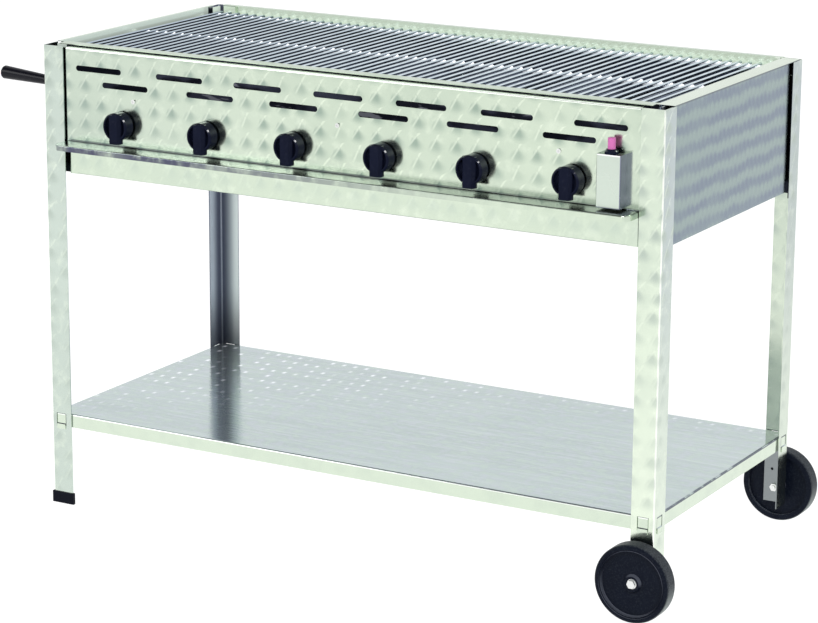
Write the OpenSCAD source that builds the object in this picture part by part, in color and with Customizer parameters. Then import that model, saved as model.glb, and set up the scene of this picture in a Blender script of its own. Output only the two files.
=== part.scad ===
// Six-burner gas roaster on a wheeled stand, stainless sheet, millimetres.
// +X is the wheel side, -Y the control side, +Z up. The origin is on the floor,
// under the middle of the whole object's outline.

/* [Stand] */
// Width over the legs, left to right
stand_w = 1210; // [1100:5:1300]
// Depth over the legs, front to back
stand_d = 566; // [540:2:620]
// Height of the rim above the floor
rim_z = 850; // [830:5:900]
// Width of each flange of the angle legs
leg_flange = 42; // [40:1:46]
// Sheet thickness of the legs
leg_t = 2; // [1.5:0.5:3]
// Height of the shelf's top face
shelf_z = 172; // [150:2:260]
// Height of the shelf's turned-down edges
shelf_edge = 25; // [20:1:30]

/* [Wheels and feet] */
// Wheel radius
wheel_r = 67; // [60:1:72]
// Wheel width
wheel_w = 31; // [26:1:34]
// Gap from the bottom of a wheel-side leg to the axle
axle_up = 28; // [20:1:32]
// Height of the black caps on the other two legs
foot_h = 21; // [16:1:30]

/* [Roaster body] */
// Height of the underside of the body
body_z = 620; // [600:5:640]
// Sheet thickness of the body
sheet_t = 1.2; // [1:0.1:1.5]
// How far the walls lie inside the outer face of the legs
wall_recess = 5; // [4:0.5:6]
// Width of the flat top flange on the wheel side
right_flange = 31; // [25:1:36]

/* [Control panel] */
// Height of the knob axes
knob_z = 719; // [715:1:725]
// Distance between neighbouring knobs
knob_pitch = 176; // [170:1:180]
// Knob radius
knob_r = 25; // [22:1:27]
// Height of the hand ledge
ledge_z = 680; // [676:1:684]
// How far the ledge stands out in front of the legs
ledge_out = 41; // [35:1:42]
// Length of the ventilation slots
slot_l = 96; // [80:1:100]
// Height of the ventilation slots
slot_h = 10; // [8:0.5:12]

/* [Grates] */
// Diameter of the grate rods
rod_d = 5; // [4:0.5:6]
// Distance between the rods
rod_pitch = 18.95; // [18:0.05:19]
// Number of rods in the left grate
rods_left = 32; // [20:1:32]
// Number of rods in the right grate
rods_right = 29; // [20:1:29]

/* [Handles] */
// Length of the hand grips
grip_l = 105; // [90:1:120]
// Upward tilt of the hand grips in degrees
grip_tilt = 3.5; // [0:0.5:6]

/* [Hidden] */
$fn = 48;
eps = 0.01;
fit = 0.06;                      // radial clearance of a running fit
bend_in = 1.5;                   // inner radius of the sheets' bends
half_w = stand_w / 2;
half_d = stand_d / 2;
leg_x = half_w - leg_t;          // inner face of a leg's side flange
leg_y = half_d - leg_t;          // inner face of a leg's front or rear flange
bend_r = sheet_t + bend_in;      // outer radius of a body sheet's bend
rim_t = sheet_t;
leg_top = rim_z - rim_t - 0.3;

// Walls: each runs between two legs, then steps in and passes behind their flanges
wall_x = half_w - wall_recess;   // outer face of the side walls
wall_y = half_d - wall_recess;   // outer face of the panel and the rear wall
wall_step = 12;                  // depth of the step at each end
wall_tail = 24;                  // length of the tail behind a leg
side_gap = 3;                    // slit between a side wall and a leg
back_gap = 6;                    // slit between the rear wall and a leg
panel_gap = 1;                   // slit between the control panel and a leg
side_run = 2 * (half_d - leg_flange - side_gap);
rear_run = 2 * (half_w - leg_flange - back_gap);
panel_run = 2 * (half_w - leg_flange - panel_gap);
tail_x = wall_x - wall_step;     // inner face of a side wall's tail
tail_y = wall_y - wall_step;     // inner face of the panel's or rear wall's tail
wall_top = rim_z - rim_t;
bottom_flange = 60;

// Weld studs that carry the body, on the inner faces of the legs
stud_r = 3;
stud_boss_r = 5;
stud_boss_l = leg_y - tail_y - sheet_t - 0.1;
stud_l = stud_boss_l + 14;
side_stud_y = half_d - 34;
end_stud_x = half_w - 34;
side_stud_zs = [660, 820];
rear_stud_zs = [700, 820];
front_stud_zs = [700, 820];
nut6_r = 5.7;
nut6_h = 5;

// Wheels and axle bolts
axle_z = wheel_r;
wheel_leg_z = axle_z - axle_up;
axle_x = half_w - leg_flange / 2;
wheel_gap = 9;                   // thickness of the spacing collar on the bolt
wheel_in = half_d + wheel_gap;   // inner side of a wheel
wheel_out = wheel_in + wheel_w;
bolt_r = 4;
bolt_head_h = 6;
hub_recess = 6;                  // the bolt head sits this deep in the hub
nut8_r = 7.5;
nut8_h = 6.5;

// Feet
foot_wall = 2;
foot_floor = 3;
cap_gap = 0.15;                  // between a leg and its cap

// Shelf, hung by hooks in windows of the legs
shelf_gap = 1;
shelf_t = 1.5;
window_a = 10;
window_b = 31;
window_z0 = shelf_z - shelf_edge - 0.5;
window_z1 = shelf_z - 0.5;
hook_w = window_b - window_a - 3;

// Grips
grip_z = 781;
grip_y = half_d - leg_flange / 2;
grip_r1 = 8.5;
grip_r2 = 12;
grip_reach = half_w + grip_l * cos(grip_tilt) + (grip_r2 - 4.5) * sin(grip_tilt);

// Shift that puts the middle of the whole outline over the origin
frame_cx = (grip_reach - (axle_x + wheel_r)) / 2;
frame_cy = (half_d + ledge_out - (wheel_out - hub_recess + bolt_head_h + 0.3)) / 2;

// Control panel
panel_top = rim_z - 3;
panel_hem = 16;
ledge_r = 18;
ledge_lip = 10;
ledge_back = -wall_y - bend_in;  // the ledge's rear end, at the panel's lower bend
upper_slot_xs = [-490, -320, -160, 0, 160, 320, 490];
lower_slot_xs = [-434, -257, -88, 88, 257, 434];
upper_slot_z = 812;
lower_slot_z = 786.5;
screw_xs = [-416, 0, 416];
screw_z = 763;
burner_xs = [for (i = [0:5]) (i - 2.5) * knob_pitch];

// Inner sheets
liner_y = -210;                  // inner face of the front liner
front_rim_y = -236;              // inner edge of the front rim
front_rim_w = 24;
ledge_rest_z = rim_z - 22;       // grates rest at this height
right_flange_x = half_w - 1 - right_flange;
rail_web_y = 259;
rail_z = 700;
liner_z = 640;
strip_y = half_d - 9;            // outer face of the lower front wall
strip_gap = 4;
strip_step = 10;                 // depth of the step at each end of the strip
strip_top = ledge_z - 4;
seam = 0.1;                      // between sheets that are spot-welded together

// Grates
cross_d = 7;
cross_z = ledge_rest_z + cross_d / 2 + 0.3;
rod_z = cross_z + (cross_d + rod_d) / 2 - 0.4;
rod_front = -229;
rod_rear = 262;
cross_ys = [-222, 12, 250];
grate_left_x = -583;
cross_end = 3.5;                 // a cross rod passes the last rod by this much
grate_right_x = grate_left_x + rods_left * rod_pitch;

// Burners and flame tamers
burner_r = 15;
burner_front = liner_y + 6;
burner_rear = rail_web_y - 16;
venturi_r = 11;
venturi_front = -232;
burner_pin_r = 4;
tamer_z = 778;
tamer_top = 806;
tamer_half = 58;
tamer_tab = 10;
tamer_reach = 7;

// Gas train
pipe_r = 9;
pipe_y = -248;
pipe_z = 697;
valve_front = -264;
valve_rear = -239;
valve_w = 22;
spindle_r = 4;
spindle_front = -298;
inlet_y = -221;
inlet_r = 6.58;                  // outside of a G 1/4 thread
inlet_thread = 18;
pipe_end = -540;                 // open left end of the pipe
tab_half = 8;
tab_t = 1.5;
tab_z = 4;                       // height of a tab's foot above the pipe's axis

// Knob
knob_back = wall_y + 4;
knob_front = knob_back + 22;
grip_ridge = 16;                 // width of the grip bar along its front
grip_base = 25;                  // and at its foot, inside the knob
grip_bar_out = 4;
grip_slope = 6;                  // depth over which the bar widens
grip_bar_depth = 12;
knob_tail = 4.5;
knob_push = 3;                   // travel of a knob on its spindle
flat_z = 2.6;                    // height of the spindle's flat above its axis
flat_l = 18;
socket_end = spindle_front - knob_push - 0.8;
socket_flat_end = spindle_front + flat_l - knob_push - 1;

// Igniter
igniter_x = 515.5;
box_w = 43;
box_d = 23.5;
box_z = 684;
box_top = 771;
igniter_y = -wall_y - box_d / 2;
button_r = 6.5;
button_top = 797.5;
button_bottom = 763;
neck_r = 8.5;
neck_top = 779;
collar_r = 9.2;                  // igniter body under the box's top
nut_r = 11.3;
nut_h = 4.2;                     // straight part of the nut
nut_cone = 1.8;
lead_hole_z = box_z + 8;
electrode_x = burner_xs[5] + 30;
electrode_z = knob_z + 14;

// Drip tray
tray_w = 1112;
tray_front = -204;
tray_rear = 272;
tray_h = 26;
tray_z = body_z + sheet_t + 0.3;
rear_wall_z = body_z + 35;

steel = [0.80, 0.83, 0.79];
blue_steel = [0.62, 0.66, 0.68];
zinc = [0.72, 0.72, 0.70];
black = [0.08, 0.08, 0.10];
brass = [0.78, 0.62, 0.32];

// ---------- shared shapes ----------

// Puts a piece drawn about the middle of the stand into the part's own frame.
module in_frame() {
    translate([frame_cx, frame_cy, 0]) children();
}

// A cylinder along Y from y0 to y1.
module rod_y(r, y0, y1) {
    translate([0, y1, 0]) rotate([90, 0, 0]) cylinder(r = r, h = y1 - y0);
}

// A cylinder along X from x0 to x1.
module rod_x(r, x0, x1) {
    translate([x0, 0, 0]) rotate([0, 90, 0]) cylinder(r = r, h = x1 - x0);
}

// A box given by its lowest and highest corners.
module block(lo, hi) {
    translate(lo) cube(hi - lo);
}

// Section of a sheet bent once: its outer corner would be the origin, one side runs
// along X for a, the other along Y for b.
module bent_sheet(a, b, t) {
    r = t + bend_in;
    translate([r, 0]) square([a - r, t]);
    translate([0, r]) square([t, b - r]);
    difference() {
        translate([r, r]) circle(r = r);
        translate([r, r]) circle(r = bend_in);
        translate([r, -1]) square([r + 1, 2 * r + 2]);
        translate([-1, r]) square([2 * r + 2, r + 1]);
    }
}

// A bent sheet along X from x0 to x1: one side runs towards +Y for a, the other
// downwards for b.
module bend_x(x0, x1, a, b, t) {
    translate([x0, 0, 0]) rotate([90, 0, 0]) rotate([0, 90, 0])
        linear_extrude(height = x1 - x0) mirror([0, 1]) bent_sheet(a, b, t);
}

// Plan of a wall: the run's outer face on the X axis, depth towards +Y, with a
// step and a tail at both ends.
module wall_plan(run, step, tail) {
    translate([-run / 2 + bend_r, 0]) square([run - 2 * bend_r, sheet_t]);
    for (s = [-1, 1]) {
        translate([s * run / 2, 0]) mirror([s > 0 ? 1 : 0, 0])
            bent_sheet(bend_r + 1, step, sheet_t);
        translate([s * (run / 2 + tail / 2) - (tail + 2 * sheet_t) / 2, step - sheet_t])
            square([tail + 2 * sheet_t, sheet_t]);
    }
}

// A long slot with round ends, through a sheet that faces Y.
module slot_y(l, h, y0, y1) {
    translate([0, y1, 0]) rotate([90, 0, 0]) linear_extrude(height = y1 - y0) {
        square([l - h, h], center = true);
        for (s = [-1, 1]) translate([s * (l - h) / 2, 0]) circle(d = h);
    }
}

// A hexagon nut along Z with a round bore.
module hex_nut(across_r, h, bore_r) {
    difference() {
        cylinder(r = across_r, h = h, $fn = 6);
        translate([0, 0, -eps]) cylinder(r = bore_r, h = h + 2 * eps);
    }
}

// ---------- legs, feet, shelf ----------

// One angle leg with its outer corner at the origin, flanges towards +X and +Y,
// standing from z0 up. The side flange lies on X = 0, the end flange on Y = 0.
module leg_profile(z0) {
    translate([0, 0, z0]) linear_extrude(height = leg_top - z0)
        bent_sheet(leg_flange, leg_flange, leg_t);
}

// Window in both flanges that takes the shelf's hooks.
module leg_windows() {
    block([window_a, -eps, window_z0], [window_b, leg_t + eps, window_z1]);
    block([-eps, window_a, window_z0], [leg_t + eps, window_b, window_z1]);
}

// A shouldered weld stud that starts on a flange's inner face and points to +Z.
module weld_stud() {
    translate([0, 0, -eps]) cylinder(r = stud_boss_r, h = stud_boss_l + eps);
    cylinder(r = stud_r, h = stud_l);
}

// Leg at a corner: sx is +1 on the wheel side, sy is +1 at the back.
module leg(sx, sy) {
    z0 = sx > 0 ? wheel_leg_z : foot_floor;
    end_zs = sy > 0 ? rear_stud_zs : front_stud_zs;
    in_frame() color(steel)
    translate([sx * half_w, sy * half_d, 0])
    mirror([sx > 0 ? 1 : 0, 0, 0]) mirror([0, sy > 0 ? 1 : 0, 0]) {
        difference() {
            leg_profile(z0);
            leg_windows();
            if (sx > 0) {
                translate([half_w - axle_x, 0, axle_z]) rod_y(bolt_r + 0.2, -1, leg_t + 1);
                translate([half_w - axle_x + 6, 0, axle_z + 33]) rod_y(2.6, -1, leg_t + 1);
            } else {
                translate([0, half_d - grip_y, grip_z]) rod_x(bolt_r + 0.2, -1, leg_t + 1);
            }
        }
        for (z = side_stud_zs)
            translate([leg_t, half_d - side_stud_y, z]) rotate([0, 90, 0]) weld_stud();
        for (z = end_zs)
            translate([half_w - end_stud_x, leg_t, z]) rotate([-90, 0, 0]) weld_stud();
    }
}

// Black cap under a leg without a wheel: an angle-shaped cup.
module foot(sy) {
    in_frame() color(black)
    translate([-half_w, sy * half_d, 0]) mirror([0, sy > 0 ? 1 : 0, 0])
    difference() {
        linear_extrude(height = foot_h) foot_plan(foot_wall);
        translate([0, 0, foot_floor - 0.1]) linear_extrude(height = foot_h)
            foot_plan(cap_gap);
    }
}

module foot_plan(grow) {
    translate([-grow, -grow]) square([leg_flange + 2 * grow, leg_t + 2 * grow]);
    translate([-grow, -grow]) square([leg_t + 2 * grow, leg_flange + 2 * grow]);
}

// Section of one hook: through the leg's window, then down over its lower edge.
module hook_section() {
    out = shelf_gap + leg_t;
    polygon([
        [-1, window_z1 - 1], [out - 0.4, window_z1 - 1], [out - 0.4, window_z0 + 6.5],
        [out + 1.4, window_z0 + 5], [out + 1.4, window_z0 - 4],
        [out + 0.15, window_z0 - 4], [out + 0.15, window_z0 + 0.7], [-1, window_z0 + 0.7]
    ]);
}

// Shelf: a plate with four turned-down edges, open at the corners, and eight hooks.
module shelf() {
    hx = leg_x - shelf_gap;
    hy = leg_y - shelf_gap;
    r = shelf_t + bend_in;
    mid = (window_a + window_b) / 2;
    in_frame() color(blue_steel) {
        block([-hx + r, -hy + r, shelf_z - shelf_t], [hx - r, hy - r, shelf_z]);
        for (s = [-1, 1]) {
            translate([0, s * hy, shelf_z]) mirror([0, s > 0 ? 1 : 0, 0])
                bend_x(-hx + r, hx - r, r + 1, shelf_edge, shelf_t);
            translate([s * hx, 0, shelf_z]) rotate([0, 0, s * 90])
                bend_x(-hy + r, hy - r, r + 1, shelf_edge, shelf_t);
        }
        for (sx = [-1, 1], sy = [-1, 1]) {
            // hook in the leg's front or rear flange
            translate([sx * (half_w - mid) - hook_w / 2, sy * hy, 0])
                mirror([0, sy < 0 ? 1 : 0, 0])
                rotate([90, 0, 0]) rotate([0, 90, 0]) linear_extrude(height = hook_w)
                hook_section();
            // hook in the leg's side flange
            translate([sx * hx, sy * (half_d - mid) + hook_w / 2, 0])
                mirror([sx < 0 ? 1 : 0, 0, 0])
                rotate([90, 0, 0]) linear_extrude(height = hook_w) hook_section();
        }
    }
}

// ---------- wheels ----------

// Half section of a wheel: x is the radius, y runs from the leg outwards.
module wheel_section() {
    round_r = 5;
    difference() {
        union() {
            translate([wheel_r - 11, round_r]) square([11, wheel_w - 2 * round_r]);
            translate([wheel_r - 11, 0]) square([11 - round_r, wheel_w]);
            for (y = [round_r, wheel_w - round_r])
                translate([wheel_r - round_r, y]) circle(r = round_r);
            // ring, dished web and hub
            polygon([
                [bolt_r + fit, 0], [14, 0], [15, 6], [wheel_r - 10, 6],
                [wheel_r - 10, wheel_w - 4], [wheel_r - 13, wheel_w - 6],
                [16, wheel_w - 8], [13, wheel_w - 3], [9, wheel_w - 3],
                [9, wheel_w - hub_recess], [bolt_r + fit, wheel_w - hub_recess]
            ]);
        }
        // groove between the tread and the ring
        translate([wheel_r - 9, wheel_w]) circle(r = 1.2, $fn = 24);
    }
}

module wheel(sy) {
    in_frame() color(black)
    translate([axle_x, sy * wheel_in, axle_z])
        mirror([0, sy < 0 ? 1 : 0, 0])
        rotate([-90, 0, 0]) rotate_extrude($fn = 96) wheel_section();
}

module axle_bolts() {
    tip = leg_y - nut8_h - 3;
    head_y = wheel_out - hub_recess + 0.3;
    for (sy = [-1, 1])
        in_frame() color(zinc) translate([axle_x, 0, axle_z])
        mirror([0, sy < 0 ? 1 : 0, 0]) {
            rod_y(bolt_r, tip, head_y + eps);
            translate([0, head_y, 0]) rotate([-90, 0, 0]) {
                cylinder(r = 8.4, h = 1.4);
                cylinder(r = nut8_r, h = bolt_head_h, $fn = 6);
            }
            // spacing collar between wheel and leg
            difference() {
                rod_y(9, half_d + 0.05, wheel_in - 0.3);
                rod_y(bolt_r - 0.5, half_d - 1, wheel_in + 1);
            }
        }
}

module m8_nuts() {
    in_frame() color(zinc) {
        for (sy = [-1, 1])
            translate([axle_x, sy * leg_y, axle_z])
            rotate([sy > 0 ? 90 : -90, 0, 0]) {
                hex_nut(nut8_r, nut8_h, bolt_r + 0.05);
            }
        for (sy = [-1, 1])
            translate([-leg_x, sy * grip_y, grip_z]) rotate([0, 90, 0])
                hex_nut(nut8_r, nut8_h, bolt_r + 0.05);
    }
}

// ---------- sheet walls ----------

// Round holes for the weld studs in both tails of a wall drawn by wall_plan.
module tail_holes(at, step, zs) {
    for (s = [-1, 1], z = zs)
        translate([s * at, 0, z]) rod_y(stud_r + 0.3, step - sheet_t - 1, step + 1);
}

// A side wall in its own plane: outer face on the X axis, inside towards +Y.
module side_wall() {
    difference() {
        translate([0, 0, body_z]) linear_extrude(height = wall_top - body_z)
            wall_plan(side_run, wall_step, wall_tail);
        tail_holes(side_stud_y, wall_step, side_stud_zs);
    }
    block([-side_run / 2, 0, body_z], [side_run / 2, bottom_flange, body_z + sheet_t]);
}

module left_wall() {
    in_frame() color(blue_steel) difference() {
        union() {
            translate([-wall_x, 0, 0]) rotate([0, 0, -90]) side_wall();
            block([-half_w + 0.5, -half_d + 43, wall_top],
                  [-wall_x + sheet_t, tail_y - 10, rim_z]);
        }
        translate([0, inlet_y, pipe_z]) rod_x(inlet_r + 0.5, -half_w, -wall_x + 10);
    }
}

module right_wall() {
    in_frame() color(blue_steel) {
        translate([wall_x, 0, 0]) rotate([0, 0, 90]) side_wall();
        block([right_flange_x, -half_d + 35, wall_top],
              [half_w - 0.5, wall_y - 6.5, rim_z]);
    }
}

module rear_wall() {
    in_frame() color(steel) {
        difference() {
            translate([0, wall_y, rear_wall_z]) rotate([0, 0, 180])
                linear_extrude(height = wall_top - rear_wall_z)
                wall_plan(rear_run, wall_step, wall_tail);
            translate([0, wall_y, 0]) rotate([0, 0, 180])
                tail_holes(end_stud_x, wall_step, rear_stud_zs);
        }
        block([-rear_run / 2 - 30, wall_y - 6, wall_top],
              [rear_run / 2 + 15, half_d - 0.5, rim_z]);
        // stiffening lip along the bottom
        block([-rear_run / 2, wall_y - 14, rear_wall_z],
              [rear_run / 2, wall_y, rear_wall_z + sheet_t]);
    }
}

// Plain strip under the ledge, with the floor of the valve space behind it.
module front_wall() {
    strip_run = 2 * (half_w - leg_flange - strip_gap);
    floor_hx = wall_x - bottom_flange - 1;
    floor_rear = liner_y - sheet_t - seam;
    in_frame() color(steel) {
        translate([0, -strip_y, body_z + bend_r])
            linear_extrude(height = strip_top - body_z - bend_r)
            wall_plan(strip_run, strip_step, wall_tail);
        translate([0, -strip_y, body_z]) mirror([0, 0, 1])
            bend_x(-floor_hx, floor_hx, strip_y + floor_rear, bend_r + 1, sheet_t);
        // ends of the strip beside the bent-back floor reach as low as the bend
        translate([0, -strip_y, body_z]) linear_extrude(height = bend_r + eps)
            difference() {
                wall_plan(strip_run, strip_step, wall_tail);
                translate([-floor_hx - 1, -1]) square([2 * floor_hx + 2, sheet_t + 2]);
            }
        block([-floor_hx, floor_rear - sheet_t, body_z],
              [floor_hx, floor_rear, body_z + 40]);
    }
}

// Outline of the ledge, all round inside its bent edge: square at the panel, round
// at the two front corners.
module ledge_plan(inset) {
    hx = panel_run / 2 - inset;
    y0 = -half_d - ledge_out + inset;
    r = ledge_r - inset;
    translate([-hx, y0 + r]) square([2 * hx, ledge_back - y0 - r]);
    translate([-hx + r, y0]) square([2 * (hx - r), r + 1]);
    for (s = [-1, 1]) translate([s * (hx - r), y0 + r]) circle(r = r);
}

// The ledge's bent edge with its lip: a front run, two round corners, two side runs.
module ledge_edge() {
    hx = panel_run / 2;
    y0 = -half_d - ledge_out;
    translate([0, y0, ledge_z])
        bend_x(-hx + ledge_r, hx - ledge_r, bend_r + 1, ledge_lip, sheet_t);
    for (s = [-1, 1]) mirror([s < 0 ? 1 : 0, 0, 0]) {
        translate([hx, 0, ledge_z]) rotate([0, 0, 90])
            bend_x(y0 + ledge_r, ledge_back, bend_r + 1, ledge_lip, sheet_t);
        translate([hx - ledge_r, y0 + ledge_r, ledge_z]) rotate([0, 0, -90])
            rotate_extrude(angle = 90) translate([ledge_r, 0]) rotate(180)
            bent_sheet(bend_r + 1, ledge_lip, sheet_t);
    }
}

module control_panel() {
    foot_z = ledge_z - sheet_t;
    in_frame() color(steel) {
        difference() {
            translate([0, -wall_y, foot_z + bend_r])
                linear_extrude(height = panel_top - foot_z - 2 * bend_r)
                wall_plan(panel_run, wall_step, wall_tail);
            translate([0, -wall_y, 0])
                tail_holes(end_stud_x, wall_step, front_stud_zs);
            for (x = upper_slot_xs)
                translate([x, 0, upper_slot_z]) slot_y(slot_l, slot_h, -wall_y - 1, -wall_y + 3);
            for (x = lower_slot_xs)
                translate([x, 0, lower_slot_z]) slot_y(slot_l, slot_h, -wall_y - 1, -wall_y + 3);
            for (x = burner_xs)
                translate([x, 0, knob_z]) rod_y(spindle_r + 2, -wall_y - 1, -wall_y + 3);
            for (x = screw_xs)
                translate([x, 0, screw_z]) rod_y(2.2, -wall_y - 1, -wall_y + 3);
            translate([igniter_x, 0, lead_hole_z]) rod_y(3, -wall_y - 1, -wall_y + 3);
        }
        // top hem
        translate([0, -wall_y, panel_top])
            bend_x(-panel_run / 2 + bend_r, panel_run / 2 - bend_r, panel_hem,
                   bend_r + 1, sheet_t);
        // bend into the ledge, then the ledge and its lip
        translate([0, -wall_y + sheet_t, foot_z]) rotate([180, 0, 0])
            bend_x(-panel_run / 2 + bend_r, panel_run / 2 - bend_r, bend_r + 1,
                   bend_r + 1, sheet_t);
        translate([0, 0, foot_z]) linear_extrude(height = sheet_t) ledge_plan(bend_r);
        ledge_edge();
    }
}

// Inner front sheet: rim, rest for the grates, then a wall behind the valves.
module front_liner() {
    hx = wall_x - sheet_t - 0.3;
    rim_hx = tail_x - 1;
    in_frame() color(zinc) difference() {
        union() {
            block([-hx, liner_y - sheet_t, liner_z], [hx, liner_y, ledge_rest_z]);
            for (s = [-1, 1])
                block([s > 0 ? hx - sheet_t : -hx, liner_y - sheet_t, liner_z],
                      [s > 0 ? hx : -hx + sheet_t, liner_y + 14, ledge_rest_z]);
            block([-rim_hx, front_rim_y - sheet_t, ledge_rest_z - sheet_t],
                  [rim_hx, liner_y, ledge_rest_z]);
            block([-rim_hx, front_rim_y - sheet_t, ledge_rest_z - sheet_t],
                  [right_flange_x - 0.5, front_rim_y, rim_z]);
            block([-rim_hx, front_rim_y - front_rim_w, rim_z - sheet_t],
                  [right_flange_x - 0.5, front_rim_y, rim_z]);
        }
        for (x = burner_xs)
            translate([x, 0, knob_z]) rod_y(venturi_r + 0.5, liner_y - 3, liner_y + 1);
        translate([electrode_x, 0, electrode_z]) rod_y(4.4, liner_y - 3, liner_y + 1);
        tamer_slots(liner_y - 3, liner_y + 1);
    }
}

// Inner rear rail: top rest for the grates, web with the burner sockets, foot.
module rear_rail() {
    hx = rear_run / 2 - 3;
    in_frame() color(zinc) difference() {
        union() {
            block([-hx, 242, ledge_rest_z - sheet_t],
                  [hx, rail_web_y + sheet_t, ledge_rest_z]);
            block([-hx, rail_web_y, rail_z], [hx, rail_web_y + sheet_t, ledge_rest_z]);
            block([-hx, rail_web_y, rail_z],
                  [hx, wall_y - sheet_t - 0.3, rail_z + sheet_t]);
        }
        for (x = burner_xs)
            translate([x, 0, knob_z])
                rod_y(burner_pin_r + 0.3, rail_web_y - 1, rail_web_y + 3);
        tamer_slots(rail_web_y - 1, rail_web_y + 3);
    }
}

// ---------- fire box ----------

// Slots for the tabs of the flame tamers, through a sheet that faces Y.
module tamer_slots(y0, y1) {
    for (x = burner_xs, s = [-1, 1])
        translate([x + s * (tamer_half - tamer_tab / 2), (y0 + y1) / 2, tamer_z + 0.6])
            cube([tamer_tab + 2, y1 - y0, 4], center = true);
}

// A double flame tamer: two ridges over two burners and a flat joining strip.
module flame_tamer(n) {
    xs = [burner_xs[2 * n - 2], burner_xs[2 * n - 1]];
    y0 = liner_y + 1;
    y1 = rail_web_y - 1;
    in_frame() color(zinc) {
        for (x = xs)
            translate([x, y1, 0]) rotate([90, 0, 0]) linear_extrude(height = y1 - y0)
                tamer_section();
        for (x = xs, s = [-1, 1])
            translate([x + s * (tamer_half - tamer_tab / 2) - tamer_tab / 2, 0, tamer_z])
                block([0, y0 - tamer_reach, 0], [tamer_tab, y1 + tamer_reach, sheet_t]);
        block([xs[0] + tamer_half - 0.5, y0, tamer_z],
              [xs[1] - tamer_half + 0.5, y0 + 30, tamer_z + sheet_t]);
        block([xs[0] + tamer_half - 0.5, y1 - 30, tamer_z],
              [xs[1] - tamer_half + 0.5, y1, tamer_z + sheet_t]);
    }
}

module tamer_section() {
    w = tamer_half;
    k = 8;
    t = sheet_t;
    polygon([
        [-w, tamer_z], [-w + tamer_tab, tamer_z], [-k, tamer_top - t], [k, tamer_top - t],
        [w - tamer_tab, tamer_z], [w, tamer_z], [w, tamer_z + t],
        [w - tamer_tab + t, tamer_z + t], [k + t, tamer_top], [-k - t, tamer_top],
        [-w + tamer_tab - t, tamer_z + t], [-w, tamer_z + t]
    ]);
}

// A tube burner: a closed tube with ports, an air mixing neck and a rear pin.
module burner(i) {
    port_n = 22;
    port_pitch = (burner_rear - burner_front - 60) / (port_n - 1);
    in_frame() color(zinc) translate([burner_xs[i - 1], 0, knob_z]) {
        difference() {
            union() {
                rod_y(burner_r, burner_front, burner_rear);
                rod_y(venturi_r, venturi_front, burner_front + eps);
                rod_y(burner_pin_r, burner_rear - eps, rail_web_y + 8);
            }
            rod_y(burner_r - 1.5, burner_front + 2, burner_rear - 2);
            rod_y(venturi_r - 1.5, venturi_front - 1, burner_front + 3);
            // gas ports along both shoulders
            for (k = [0:port_n - 1], a = [-55, 55])
                translate([0, burner_front + 30 + k * port_pitch, 0])
                    rotate([0, a, 0]) cylinder(r = 1.6, h = burner_r + 1, $fn = 16);
            // air windows in the neck
            for (a = [0, 180])
                rotate([0, a, 0]) translate([venturi_r - 4, venturi_front + 5, -4])
                    cube([6, 10, 8]);
        }
    }
}

// A welded grate: rods from front to back with their ends turned down, on three
// cross rods.
module grate(x0, n) {
    x1 = x0 + (n - 1) * rod_pitch;
    r = rod_d / 2;
    drop = rod_z - ledge_rest_z - 1.2;
    in_frame() color(zinc) {
        for (i = [0:n - 1]) translate([x0 + i * rod_pitch, 0, rod_z]) {
            rod_y(r, rod_front, rod_rear);
            for (y = [rod_front, rod_rear]) {
                translate([0, y, 0]) sphere(r = r, $fn = 24);
                translate([0, y, -drop]) cylinder(r = r, h = drop);
            }
        }
        for (y = cross_ys)
            translate([0, y, cross_z]) rod_x(cross_d / 2, x0 - cross_end, x1 + cross_end);
    }
}

// ---------- gas train ----------

// A gas cock: saddle on the pipe, body with the spindle bore, jet at the back.
module gas_valve(i) {
    w = valve_w / 2;
    in_frame() color(brass) translate([burner_xs[i - 1], 0, 0]) difference() {
        union() {
            block([-w, valve_front, pipe_z], [w, valve_rear, knob_z + w]);
            translate([0, 0, knob_z]) rod_y(9, valve_front - 6, valve_front + eps);
            translate([0, 0, knob_z]) rod_y(4, valve_rear - eps, valve_rear + 9);
        }
        translate([0, pipe_y, pipe_z]) rod_x(pipe_r + 0.05, -w - 1, w + 1);
        translate([0, 0, knob_z]) rod_y(spindle_r + fit, valve_front - 7, valve_front + 12);
        translate([0, 0, knob_z]) rod_y(0.6, valve_front + 11, valve_rear + 10);
    }
}

// Spindle with a flat on its outer end, where the knob is pushed on.
module valve_spindle(i) {
    in_frame() color(zinc) translate([burner_xs[i - 1], 0, knob_z]) difference() {
        rod_y(spindle_r, spindle_front, valve_front + 11.5);
        block([-spindle_r - 1, spindle_front - 1, flat_z],
              [spindle_r + 1, spindle_front + flat_l, spindle_r + 1]);
    }
}

module manifold_pipe() {
    end = burner_xs[5] + 24;
    tab_y = -wall_y + sheet_t + seam;
    in_frame() color(zinc) {
        translate([0, pipe_y, pipe_z]) difference() {
            rod_x(pipe_r, pipe_end, end);
            rod_x(pipe_r - 1.5, pipe_end - 1, end - 3);
        }
        // tabs that the panel screws hold
        for (x = screw_xs) {
            difference() {
                block([x - tab_half, tab_y, pipe_z + tab_z],
                      [x + tab_half, tab_y + tab_t, screw_z + tab_half]);
                translate([x, 0, screw_z]) rod_y(2.2, tab_y - 1, tab_y + tab_t + 1);
            }
            block([x - tab_half, tab_y, pipe_z + tab_z],
                  [x + tab_half, pipe_y - pipe_r + 2.4, pipe_z + tab_z + tab_t]);
        }
    }
}

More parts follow.
